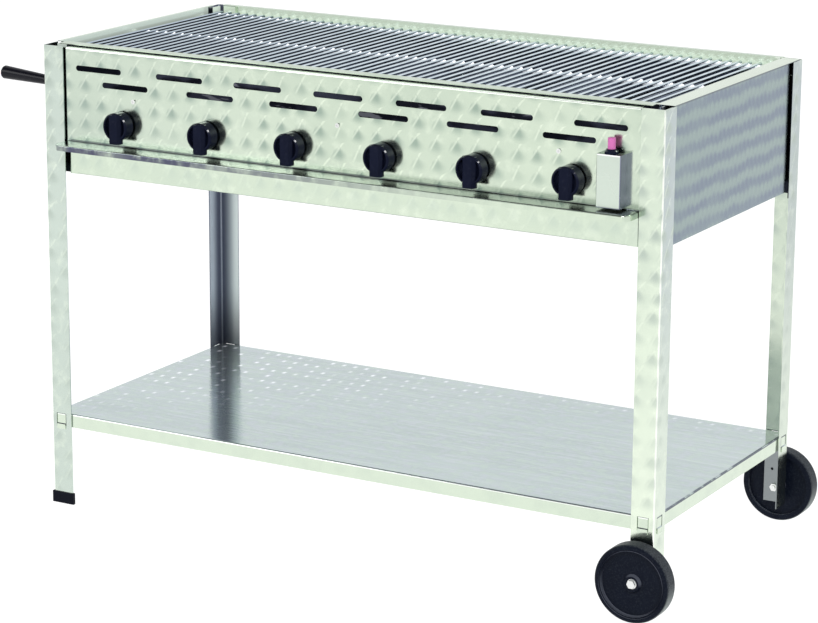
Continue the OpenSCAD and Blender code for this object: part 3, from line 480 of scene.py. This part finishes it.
def side_shades(s, colour):
    """Side wall: painted light on the flat top flange, a thin painted shadow under it, painted shade on the
    tails in the slits beside the legs. The grip side's inner face, over the grates, glows with painted light."""
    x, _, z = s.split(s.here())
    from_mid = s.size(s.math("SUBTRACT", x, STAND_MID.x))
    # painted shade on the tails in the slits beside the legs
    shaded_inside = s.below(from_mid, SIDE_FACE - STAND_MID.x - 2 * MM)
    tone = s.blend(shaded_inside, colour, DEEP_SHADE)
    # painted shadow under the top flange
    tone = s.blend(s.ramp(z, RIM_TOP - 6 * MM, RIM_TOP - 3 * MM, 0.0, 0.7), tone, (0.10, 0.11, 0.13))
    nx, _, nz = normal_of(s)
    # painted glow on the grip side's inner face, over the grates
    inner = s.times(s.above(nx, FACING), s.below(x, STAND_MID.x))
    over_grates = s.times(inner, s.ramp(z, RIM_TOP - 30 * MM, RIM_TOP - 20 * MM))
    painted_glow = s.times(over_grates, s.ramp(z, RIM_TOP - 22 * MM, RIM_TOP, 0.35, 0.8))
    s.set(glow=(0.62, 0.71, 0.64), glow_strength=painted_glow)
    tone = s.blend(over_grates, tone, (0.25, 0.28, 0.25))
    # painted light on the flat top flange
    return s.blend(s.above(nz, 0.5), tone, (0.76, 0.84, 0.69))


RIPPLE_PITCH = 17 * MM  # of the upright ripples in the side walls' bands


def banded_steel(name, dark, light, painted_light):
    """The same turned sheet in painted shade, seen along the grain of its spots: soft level bands of painted
    reflection with fine upright ripples.
    """
    s = Shader(name)
    _, y, z = s.split(s.here())
    ripple = s.math("SINE", s.times(y, 2 * math.pi / RIPPLE_PITCH))
    drift = s.drawn_noise((1.0, 25.0, 25.0))
    row = s.scaled(drift, 0.5, s.math("DIVIDE", z, SPOT_PITCH_V))
    band = s.math("PINGPONG", s.scaled(ripple, 0.05, row), 0.5)
    band = s.ramp(band, 0.08, 0.42)
    edge = s.times(s.ramp(ripple, -0.2, 1.0), 0.25)
    soft = s.drawn_noise((1.0, 9.0, 9.0))
    tone = s.blend(band, light, dark)
    tone = s.blend(edge, tone, [0.5 * (a + b) for a, b in zip(dark, light)])
    tone = s.blend(s.ramp(soft, 0.4, 0.7, 0.0, 0.3), tone, light)
    s.set(base_color=painted_light(s, tone), metallic=1.0, anisotropic=0.3)
    s.set(roughness=s.scaled(drift, 0.08, 0.18))
    s.set(normal=s.bump(ripple, 0.00004, 0.5))
    return s.material


GLINT_DASH_PITCH = 25 * MM  # along a row of the shelf's painted glints


def shelf_steel(name):
    """Shelf sheet: cool top with faint level bands, ripples and rows of tiny glowing painted glints, painted
    shadow lines near the front and side edges, and edges lighter with painted light, with a painted highlight
    at the front bend and a painted shadow at the side bend.
    """
    s = Shader(name)
    place = s.here()
    x, y, z = s.split(place)
    nx, _, nz = normal_of(s)
    bands = s.drawn_noise((1.5, 28.0, 1.0))
    ripple = s.drawn_noise((9.0, 150.0, 1.0))
    cloud = s.noise(place, 4.0, 3.0)
    row = s.math("DIVIDE", y, SPOT_PITCH_V)
    # painted highlight: rows of tiny glints
    step = s.scaled(s.math("FLOOR", row), 0.37, s.math("DIVIDE", x, GLINT_DASH_PITCH))
    luck = s.luck("2D", s.join(s.math("FLOOR", step), s.math("FLOOR", row)), "Value")
    along = s.ramp(s.math("PINGPONG", step, 0.5), 0.27, 0.48)
    glint_dash = s.times(along, s.ramp(s.math("PINGPONG", row, 0.5), 0.24, 0.48))
    left = s.ramp(s.scaled(y, 1.6, s.times(x, -1.0)), 0.0, 0.6)
    left_or_rear = s.math("MAXIMUM", left, s.ramp(y, 0.19, 0.26, 0.0, 0.4))
    glint_dash = s.times(s.times(glint_dash, left_or_rear), s.ramp(luck, 0.15, 0.8, 0.0, 0.9))
    top = s.blend(s.ramp(bands, 0.35, 0.65, 0.0, 0.35), SHELF_STEEL, [c * 0.80 for c in SHELF_STEEL])
    top = s.blend(s.ramp(cloud, 0.4, 0.7, 0.0, 0.25), top, (0.62, 0.70, 0.66))
    spots = s.drawn_noise((48.0, 60.0, 1.0), 2.0)
    top = s.blend(s.ramp(spots, 0.50, 0.64, 0.0, 0.35), top, (0.62, 0.64, 0.73))
    top = s.blend(s.ramp(spots, 0.47, 0.35, 0.0, 0.35), top, (0.60, 0.73, 0.60))
    top = s.blend(s.ramp(ripple, 0.45, 0.7, 0.0, 0.35), top, (0.70, 0.77, 0.76))
    top = s.blend(s.times(glint_dash, 0.8), top, WHITE)
    broken = s.ramp(s.drawn_noise((1.0, 30.0, 1.0)), 0.62, 0.50)
    # painted shadow lines along the front and side edges
    front_shadow_line = s.ramp(y, SHELF_FRONT + 6 * MM, SHELF_FRONT + 4 * MM, 0.0, 0.75)
    side_shadow_line = s.times(broken, s.ramp(x, SHELF_SIDE - 9 * MM, SHELF_SIDE - 6 * MM, 0.0, 0.9))
    top = s.blend(s.math("MAXIMUM", front_shadow_line, side_shadow_line), top, (0.13, 0.15, 0.19))
    # painted light on the edges, with a painted highlight at the front bend and a painted shadow at the side
    # bend
    mottle = s.ramp(s.noise(place, 30.0, 4.0), 0.4, 0.7, 0.0, 0.25)
    edge = s.blend(mottle, (0.64, 0.73, 0.60), (0.50, 0.58, 0.50))
    at_bend = s.ramp(z, SHELF_TOP - 3.6 * MM, SHELF_TOP - 2.6 * MM)
    at_side = s.above(s.size(nx), 0.5)
    edge = s.blend(at_bend, edge, s.blend(at_side, (0.97, 1.0, 0.95), (0.13, 0.145, 0.17)))
    s.set(base_color=s.blend(s.above(nz, 0.5), edge, top), metallic=0.87)
    s.set(roughness=s.scaled(cloud, 0.06, 0.07))
    # painted light: the shelf glows faintly, the glints more
    s.set(glow=(0.85, 0.88, 1.0), glow_strength=s.scaled(glint_dash, 0.25, 0.015))
    s.set(normal=s.bump(ripple, 0.0005, 0.6))
    return s.material


def valve_space(name):
    """The inner front sheet: plain steel on the rim and inside, but behind the slots it is painted near black
    as shade, with a few painted lighter reflections, and glows faintly there."""
    s = Shader(name)
    patch = s.drawn_noise((9.0, 9.0, 22.0))
    streak = s.drawn_noise((25.0, 25.0, 90.0), 2.0)
    tone = s.blend(s.ramp(patch, 0.46, 0.56), (0.008, 0.009, 0.015), (0.030, 0.033, 0.052))
    tone = s.blend(s.ramp(streak, 0.62, 0.70, 0.0, 0.7), tone, (0.22, 0.23, 0.27))
    # painted shade behind the slots, with painted reflections, glowing faintly
    shaded_behind_slots = s.times(s.below(normal_of(s)[1], -0.5), s.below(s.height(), LINER_TOP - 2.5 * MM))
    s.set(glow=tone, glow_strength=s.times(shaded_behind_slots, 0.55))
    s.set(base_color=s.blend(shaded_behind_slots, STEEL, tone))
    s.set(metallic=0.9, roughness=s.ramp(streak, 0.3, 0.7, 0.25, 0.4))
    s.set(normal=s.bump(streak, 0.00008, 0.5))
    return s.material


def hood_painted_light(s, colour):
    """Igniter hood: painted shade on its wheel-side face and its foot, and a painted highlight on its top
    front bend.
    """
    nx, ny, _ = normal_of(s)
    # painted highlight on the top front bend
    at_top = s.ramp(s.height(), HOOD_TOP - 2.6 * MM, HOOD_TOP - 1.4 * MM)
    colour = s.blend(s.times(at_top, s.below(ny, -0.2)), colour, WHITE)
    # painted shade on the wheel-side face and the foot
    side = s.above(nx, 0.6)
    low = s.ramp(s.height(), LEDGE_TOP + 6 * MM, LEDGE_TOP + 4.2 * MM)
    return s.blend(s.math("MAXIMUM", side, low), colour, (0.235, 0.245, 0.34))


GRAIN_SCALES = (400.0, 8.0, 8.0)  # the fine grain runs up and back


def brushed_steel(name, colour, roughness, painted_light):
    """Stainless sheet with straight fine grain, soft clouds and a few wipe marks."""
    s = Shader(name)
    place = s.here()
    streak = s.noise(s.vector("MULTIPLY", place, GRAIN_SCALES), 5.0, 3.0, 0.7)
    cloud = s.noise(place, 5.0, 3.0)
    wipe = s.ramp(s.noise(s.vector("MULTIPLY", place, (2.0, 9.0, 5.0)), 2.0, 4.0), 0.52, 0.66)
    tone = s.blend(s.times(streak, 0.35), colour, [c * 0.84 for c in colour])
    tone = s.blend(s.times(wipe, 0.12), tone, [c * 0.8 for c in colour])
    rough = s.scaled(cloud, 0.12, roughness - 0.06)
    s.set(base_color=painted_light(s, tone), metallic=1.0, anisotropic=0.4)
    s.set(roughness=s.scaled(wipe, 0.05, rough))
    s.set(normal=s.bump(streak, 0.00002, 0.5))
    return s.material


def shaded_towards_grip_side(s, colour):
    """Sheets under the grates: painted shade, darker towards the grip side."""
    # painted shade, darker towards the grip side
    grip_side_shade = s.ramp(s.split(s.here())[0], stand_lo.x, STAND_MID.x + 300 * MM, 0.6, 0.0)
    return s.blend(grip_side_shade, colour, (0.035, 0.04, 0.055))


def tarnished(s, colour, tarnish, most, roughness):
    """Surface of drawn metal: fine specks and relief, and clouds of tarnish up to the part called most."""
    place = s.here()
    cloud = s.noise(place, 40.0, 4.0)
    speck = s.ramp(s.noise(place, 900.0, 2.0), 0.55, 0.75)
    s.set(roughness=s.scaled(speck, 0.10, s.scaled(cloud, 0.10, roughness)))
    s.set(normal=s.bump(s.noise(place, 600.0, 2.0), 0.00002, 0.4))
    return s.blend(s.ramp(cloud, 0.4, 0.75, 0.0, most), colour, tarnish)


def bright_metal(name, colour, roughness, tarnish):
    """Plated fasteners, tube and brass: bright metal with a thin uneven tarnish."""
    s = Shader(name)
    s.set(base_color=tarnished(s, colour, tarnish, 0.5, roughness), metallic=1.0)
    return s.material


def grate_wire(name):
    """Bright rods with painted shade underneath and towards the grip side; the cross rods are duller and
    lighter, and glow as painted light.
    """
    s = Shader(name)
    x, _, z = s.split(s.here())
    tone = tarnished(s, (0.74, 0.83, 0.87), (0.44, 0.52, 0.60), 0.4, 0.12)
    # painted shade towards the grip side
    tone = s.blend(s.ramp(x, stand_lo.x, STAND_MID.x, 0.75, 0.0, smooth=False), tone, (0.42, 0.49, 0.57))
    darker = s.ramp(x, stand_lo.x, stand_hi.x, 0.95, 0.5, smooth=False)
    # painted shade under the rods
    shade_under = s.times(s.ramp(normal_of(s)[2], 0.5, 0.1), darker)
    tone = s.blend(shade_under, tone, (0.045, 0.07, 0.12))
    # painted light: the cross rods are lighter and glow
    cross = s.ramp(z, GRATE_BOTTOM + CROSS_ROD_D + 0.2 * MM, GRATE_BOTTOM + CROSS_ROD_D - 0.8 * MM)
    s.set(base_color=s.blend(cross, tone, (0.90, 0.93, 0.95)), metallic=s.scaled(cross, -0.8, 1.0))
    s.set(glow=(0.9, 0.95, 1.0), glow_strength=s.times(cross, 0.35))
    return s.material


TREAD_START = 62 * MM  # from the wheel's axis


def wheel_wear_and_light(s, colour):
    """Wheel: a finely flecked face, a greyer scuffed tread that is lightest low down with painted reflection
    of the floor, and painted highlights on the edges where its ribs look up."""
    nx, ny, nz = normal_of(s)
    x, _, z = s.split(s.here())
    flat = s.size(ny)
    flecks = s.noise(s.here(), 420.0, 3.0, 0.65)
    tone = s.blend(s.ramp(flecks, 0.45, 0.72, 0.0, 0.6), colour, (0.020, 0.025, 0.034))
    from_axis = s.join(s.math("SUBTRACT", x, WHEEL_MID.x), 0.0, s.math("SUBTRACT", z, WHEEL_MID.z))
    out_far = s.vector("LENGTH", from_axis, out=1)
    # painted highlight on the ribs' edges that look up
    rib_highlight = s.times(s.ramp(flat, 0.97, 0.80), s.ramp(out_far, TREAD_START, TREAD_START - 4 * MM))
    rib_highlight = s.times(rib_highlight, s.ramp(s.scaled(nx, 0.5, nz), 0.05, 0.7))
    tone = s.blend(s.times(rib_highlight, 0.8), tone, (0.10, 0.11, 0.14))
    tread = s.times(s.ramp(flat, 0.85, 0.45), s.ramp(out_far, TREAD_START - 2 * MM, TREAD_START + 1 * MM))
    scuffed = s.blend(s.ramp(flecks, 0.35, 0.65), (0.016, 0.02, 0.026), (0.06, 0.068, 0.078))
    # painted reflection of the floor on the lower tread
    low = s.ramp(s.scaled(nz, -0.8, s.times(nx, 0.6)), 0.45, 1.0)
    scuffed = s.blend(low, scuffed, (0.16, 0.185, 0.18))
    return s.blend(tread, tone, scuffed)


def moulded_plastic(name, colour, roughness, grain=0.00003, coat=0.0, dust=0.03, specular=0.28, wear_and_light=None):
    """Moulded plastic with fine mould grain and a trace of dust. Its polish, coat, is best on the faces that
    look up."""
    s = Shader(name)
    place = s.here()
    cloud = s.noise(place, 30.0, 4.0)
    spark = s.noise(place, 1800.0, 2.0)
    dusty = s.ramp(s.noise(place, 120.0, 5.0, 0.65), 0.5, 0.8)
    tone = s.blend(s.times(dusty, dust), colour, (0.30, 0.31, 0.33))
    tone = s.blend(s.ramp(cloud, 0.3, 0.7, 0.0, 0.4), tone, [c * 1.5 for c in colour])
    # wear and painted light, given as a function
    if wear_and_light is not None:
        tone = wear_and_light(s, tone)
    s.set(base_color=tone, specular=specular)
    s.set(coat=s.ramp(normal_of(s)[2], 0.1, 0.5, 0.0, coat), coat_roughness=0.06)
    s.set(roughness=s.scaled(dusty, 0.15, s.scaled(cloud, 0.08, roughness)))
    s.set(normal=s.bump(spark, grain, 0.5))
    return s.material


def weld_metal(name):
    """Resistance welds: light and glowing as painted highlight, rough and a little burnt in places."""
    s = Shader(name)
    place = s.here()
    scale = s.noise(place, 260.0, 4.0)
    tone = s.blend(s.ramp(scale, 0.5, 0.8, 0.0, 0.6), (0.97, 0.98, 1.0), (0.70, 0.72, 0.76))
    s.set(base_color=tone, metallic=0.3)
    # painted highlight: the welds glow
    s.set(glow=(0.95, 0.97, 1.0), glow_strength=s.ramp(scale, 0.3, 0.7, 1.0, 0.7))
    s.set(roughness=s.ramp(scale, 0.3, 0.7, 0.3, 0.5))
    s.set(normal=s.bump(scale, 0.0003, 0.6))
    return s.material


def glazed_ceramic(name):
    """Off-white glazed insulator with faint brown clouds."""
    s = Shader(name)
    place = s.here()
    cloud = s.ramp(s.noise(place, 200.0, 3.0), 0.4, 0.7, 0.0, 0.5)
    s.set(base_color=s.blend(cloud, (0.85, 0.83, 0.78), (0.70, 0.66, 0.60)), coat=0.5, coat_roughness=0.1)
    s.set(roughness=s.ramp(s.noise(place, 90.0, 3.0), 0.3, 0.7, 0.22, 0.35))
    s.set(normal=s.bump(s.noise(place, 700.0, 2.0), 0.00003, 0.4))
    return s.material


# ---------------------------------------------------------------- materials of the CAD nodes


def paint(material, *names):
    """Makes material the only one of each named CAD node."""
    for name in names:
        slots = NODES[name].data.materials
        slots.clear()
        slots.append(material)


def paint_nodes():
    """Makes every material and gives it to its nodes."""
    turned = turned_steel("turned_steel", STEEL, STEEL_DARK, shade=panel_shades)
    rear = turned_steel("turned_steel_rear", STEEL, STEEL_DARK, shade=rear_wall_painted_glow)
    strip = turned_steel("turned_steel_strip", STEEL, STRIP_SHADE_AND_CLOUD, shade_fan_part=0.4, glint_part=0.1,
                         shade=strip_shades)
    # painted shade: the side walls' turned steel, darker and bluer
    side = banded_steel("turned_steel_side_shaded", (0.19, 0.235, 0.295), (0.285, 0.36, 0.35), side_shades)
    legs = turned_steel("turned_steel_legs", LEG_STEEL, LEG_SHADE_AND_CLOUD, glint_part=0.3, fades=True, painted_light=leg_painted_light)
    wheel_leg = turned_steel("turned_steel_wheel_leg", STEEL, LEG_SHADE_AND_CLOUD, glint_part=0.2, fades=True,
                             painted_light=leg_painted_light, shade=wheel_leg_shade)
    far_leg = turned_steel("turned_steel_far_leg", STEEL, LEG_SHADE_AND_CLOUD, glint_part=0.2, fades=True,
                           shade=far_leg_shade)
    shelf = shelf_steel("shelf_steel")
    plain = brushed_steel("plain_steel", (0.62, 0.70, 0.62), 0.26, hood_painted_light)
    # painted shade: the sheets under the grates are dark in their shade
    inner = brushed_steel("inner_steel_shaded", (0.13, 0.16, 0.23), 0.3, shaded_towards_grip_side)
    space = valve_space("valve_space_steel")
    wire = grate_wire("wire_steel")
    tube = bright_metal("tube_steel", (0.58, 0.57, 0.55), 0.3, (0.42, 0.38, 0.34))
    zinc = bright_metal("zinc_plate", (0.78, 0.79, 0.78), 0.2, (0.62, 0.63, 0.60))
    brass = bright_metal("turned_brass", (0.78, 0.60, 0.30), 0.28, (0.56, 0.42, 0.22))
    knob = moulded_plastic("knob_plastic", (0.006, 0.008, 0.020), 0.16, coat=0.8, specular=0.04)
    grip = moulded_plastic("grip_plastic", (0.004, 0.004, 0.008), 0.14, specular=0.2)
    tread = moulded_plastic("wheel_plastic", (0.003, 0.005, 0.012), 0.32, 0.00008, dust=0.01, specular=0.07,
                            wear_and_light=wheel_wear_and_light)
    cap = moulded_plastic("cap_plastic", (0.003, 0.004, 0.009), 0.4, 0.00008, specular=0.07)
    button = moulded_plastic("button_plastic", (0.52, 0.13, 0.36), 0.25)
    sheath = moulded_plastic("lead_sheath", (0.02, 0.02, 0.02), 0.5)

    paint(turned, "control_panel")
    paint(rear, "rear_wall")
    paint(strip, "front_wall")
    paint(side, "left_wall", "right_wall")
    paint(legs, "leg_front_left", "leg_front_right")
    paint(wheel_leg, "leg_rear_right")
    paint(far_leg, "leg_rear_left")
    paint(shelf, "shelf")
    paint(plain, "igniter_box")
    paint(space, "front_liner")
    paint(inner, "rear_rail", "drip_tray", "flame_tamer_1", "flame_tamer_2", "flame_tamer_3")
    paint(wire, "grate_left", "grate_right")
    paint(tube, *six("burner"))
    paint(zinc, "axle_bolts", "m8_nuts", "panel_screws", "stud_nuts", "manifold_pipe", *six("valve_spindle"))
    paint(brass, "gas_inlet", *six("gas_valve"))
    paint(knob, "igniter_body", "igniter_nut", *six("knob"))
    paint(grip, "handle_front", "handle_rear")
    paint(tread, "wheel_front", "wheel_rear")
    paint(cap, "foot_front_left", "foot_rear_left")
    paint(button, "igniter_button")
    paint(sheath, "ignition_lead")
    paint(glazed_ceramic("electrode_ceramic"), "electrode")


# ---------------------------------------------------------------- added detail

RODS = {"grate_left": 32, "grate_right": 29}
ROD_PITCH = 18.95 * MM
ROD_R = 3.5 * MM
CROSS_ROD_PLACES = (7 * MM, 241 * MM, 479 * MM)  # from the rods' front ends
BEAD_HALF = (5.0, 4.8, 3.1)  # half sizes of a weld bead, in millimetres
BEAD_SINK = 0.6 * MM  # how far a bead's middle lies under the top of the cross rod


def add_bead(bm, place, seed):
    """One lumpy resistance-weld bead, wider along the cross rod than along the rod."""
    verts = bmesh.ops.create_icosphere(bm, subdivisions=2, radius=1)["verts"]
    for v in verts:
        lump = 1 + 0.16 * math.sin(5.1 * v.co.x + seed) + 0.12 * math.sin(7.3 * v.co.y - 2.3 * seed)
        v.co = Vector([c * half * MM for c, half in zip(v.co, BEAD_HALF)]) * lump + place


def weld_grates(material):
    """Weld beads where the rods of a grate cross its three cross rods."""
    for node, count in RODS.items():
        low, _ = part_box(node)
        bm = bmesh.new()
        for i in range(count):
            x = low.x + ROD_R + i * ROD_PITCH
            for n, place in enumerate(CROSS_ROD_PLACES):
                add_bead(bm, Vector((x, low.y + place, low.z + CROSS_ROD_D - BEAD_SINK)), i + 40 * n)
        for face in bm.faces:
            face.smooth = True
        mesh = bpy.data.meshes.new(f"{node}_welds")
        bm.to_mesh(mesh)
        bm.free()
        mesh.materials.append(material)
        welds = bpy.data.objects.new(f"{node}_welds", mesh)
        bpy.context.scene.collection.objects.link(welds)
        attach(welds, node)


KNOB_ROUNDING = 1.0 * MM
SHARP = math.radians(35)  # edges that turn more than this are rounded


def round_edges(names, width):
    """Small rounding of a CAD node's sharp edges, as moulding gives."""
    for name in names:
        bevel = NODES[name].modifiers.new("rounding", "BEVEL")
        bevel.width = width
        bevel.segments = 2
        bevel.limit_method = "ANGLE"
        bevel.angle_limit = SHARP
        bevel.harden_normals = False


# ---------------------------------------------------------------- floor and light

FLOOR_HALF = 30  # half of the floor's side, in metres
FLOOR_GLOW = 0.97  # the floor lights itself, as a lit white sweep does, so hardly any shadow shows
ROOM_COLOUR = (0.96, 0.98, 1.0, 1)
ROOM_RAMP = (0.70, 0.90, 0.95, 0.15)  # where it starts and stops to darken, its strength before and after


def make_floor():
    """A wide sheet of white paper under the legs."""
    bm = bmesh.new()
    bmesh.ops.create_grid(bm, x_segments=1, y_segments=1, size=FLOOR_HALF)
    mesh = bpy.data.meshes.new("floor")
    bm.to_mesh(mesh)
    bm.free()
    floor = bpy.data.objects.new("floor", mesh)
    bpy.context.scene.collection.objects.link(floor)
    s = Shader("floor_paper")
    grain = s.noise(s.here(), 60.0, 3.0)
    s.set(base_color=s.blend(grain, (0.22, 0.22, 0.22), (0.20, 0.20, 0.20)), roughness=0.9, specular=0.1)
    s.set(glow=WHITE, glow_strength=FLOOR_GLOW)
    mesh.materials.append(s.material)


def make_light(name, place, target, size, power):
    """A white rectangular lamp at place that looks at target."""
    data = bpy.data.lights.new(name, "AREA")
    data.shape = "RECTANGLE"
    data.size, data.size_y = size
    data.energy = power
    light = bpy.data.objects.new(name, data)
    light.location = place
    light.rotation_euler = (Vector(target) - Vector(place)).to_track_quat("-Z", "Y").to_euler()
    bpy.context.scene.collection.objects.link(light)


def make_world():
    """A white room, bright behind and all round the floor, but dark high up in front."""
    world = bpy.data.worlds.new("studio")
    world.use_nodes = True
    tree = world.node_tree
    place = tree.nodes.new("ShaderNodeTexCoord").outputs["Generated"]
    split = tree.nodes.new("ShaderNodeSeparateXYZ")
    tree.links.new(place, split.inputs[0])
    forward = tree.nodes.new("ShaderNodeMath")
    forward.operation = "MULTIPLY_ADD"
    tree.links.new(split.outputs[1], forward.inputs[0])
    forward.inputs[1].default_value = -0.5
    tree.links.new(split.outputs[2], forward.inputs[2])
    ramp = tree.nodes.new("ShaderNodeMapRange")
    tree.links.new(forward.outputs[0], ramp.inputs[0])
    for index, value in enumerate(ROOM_RAMP, start=1):
        ramp.inputs[index].default_value = value
    background = tree.nodes["Background"]
    background.inputs["Color"].default_value = ROOM_COLOUR
    tree.links.new(ramp.outputs[0], background.inputs["Strength"])
    bpy.context.scene.world = world


def make_lights():
    """Two lamps before the object, high on either side, and the room."""
    make_light("key", (2.2, -2.6, 3.2), (0, 0, 0.6), (1.2, 0.8), 60)
    make_light("fill", (-3.0, -3.0, 2.6), (0, 0, 0.5), (2.5, 1.8), 40)
    make_world()


# ---------------------------------------------------------------- run

make_camera()
make_floor()
make_lights()
paint_nodes()
weld_grates(weld_metal("weld_steel"))
round_edges(six("knob"), KNOB_ROUNDING)
bpy.context.scene.view_settings.view_transform = "Standard"
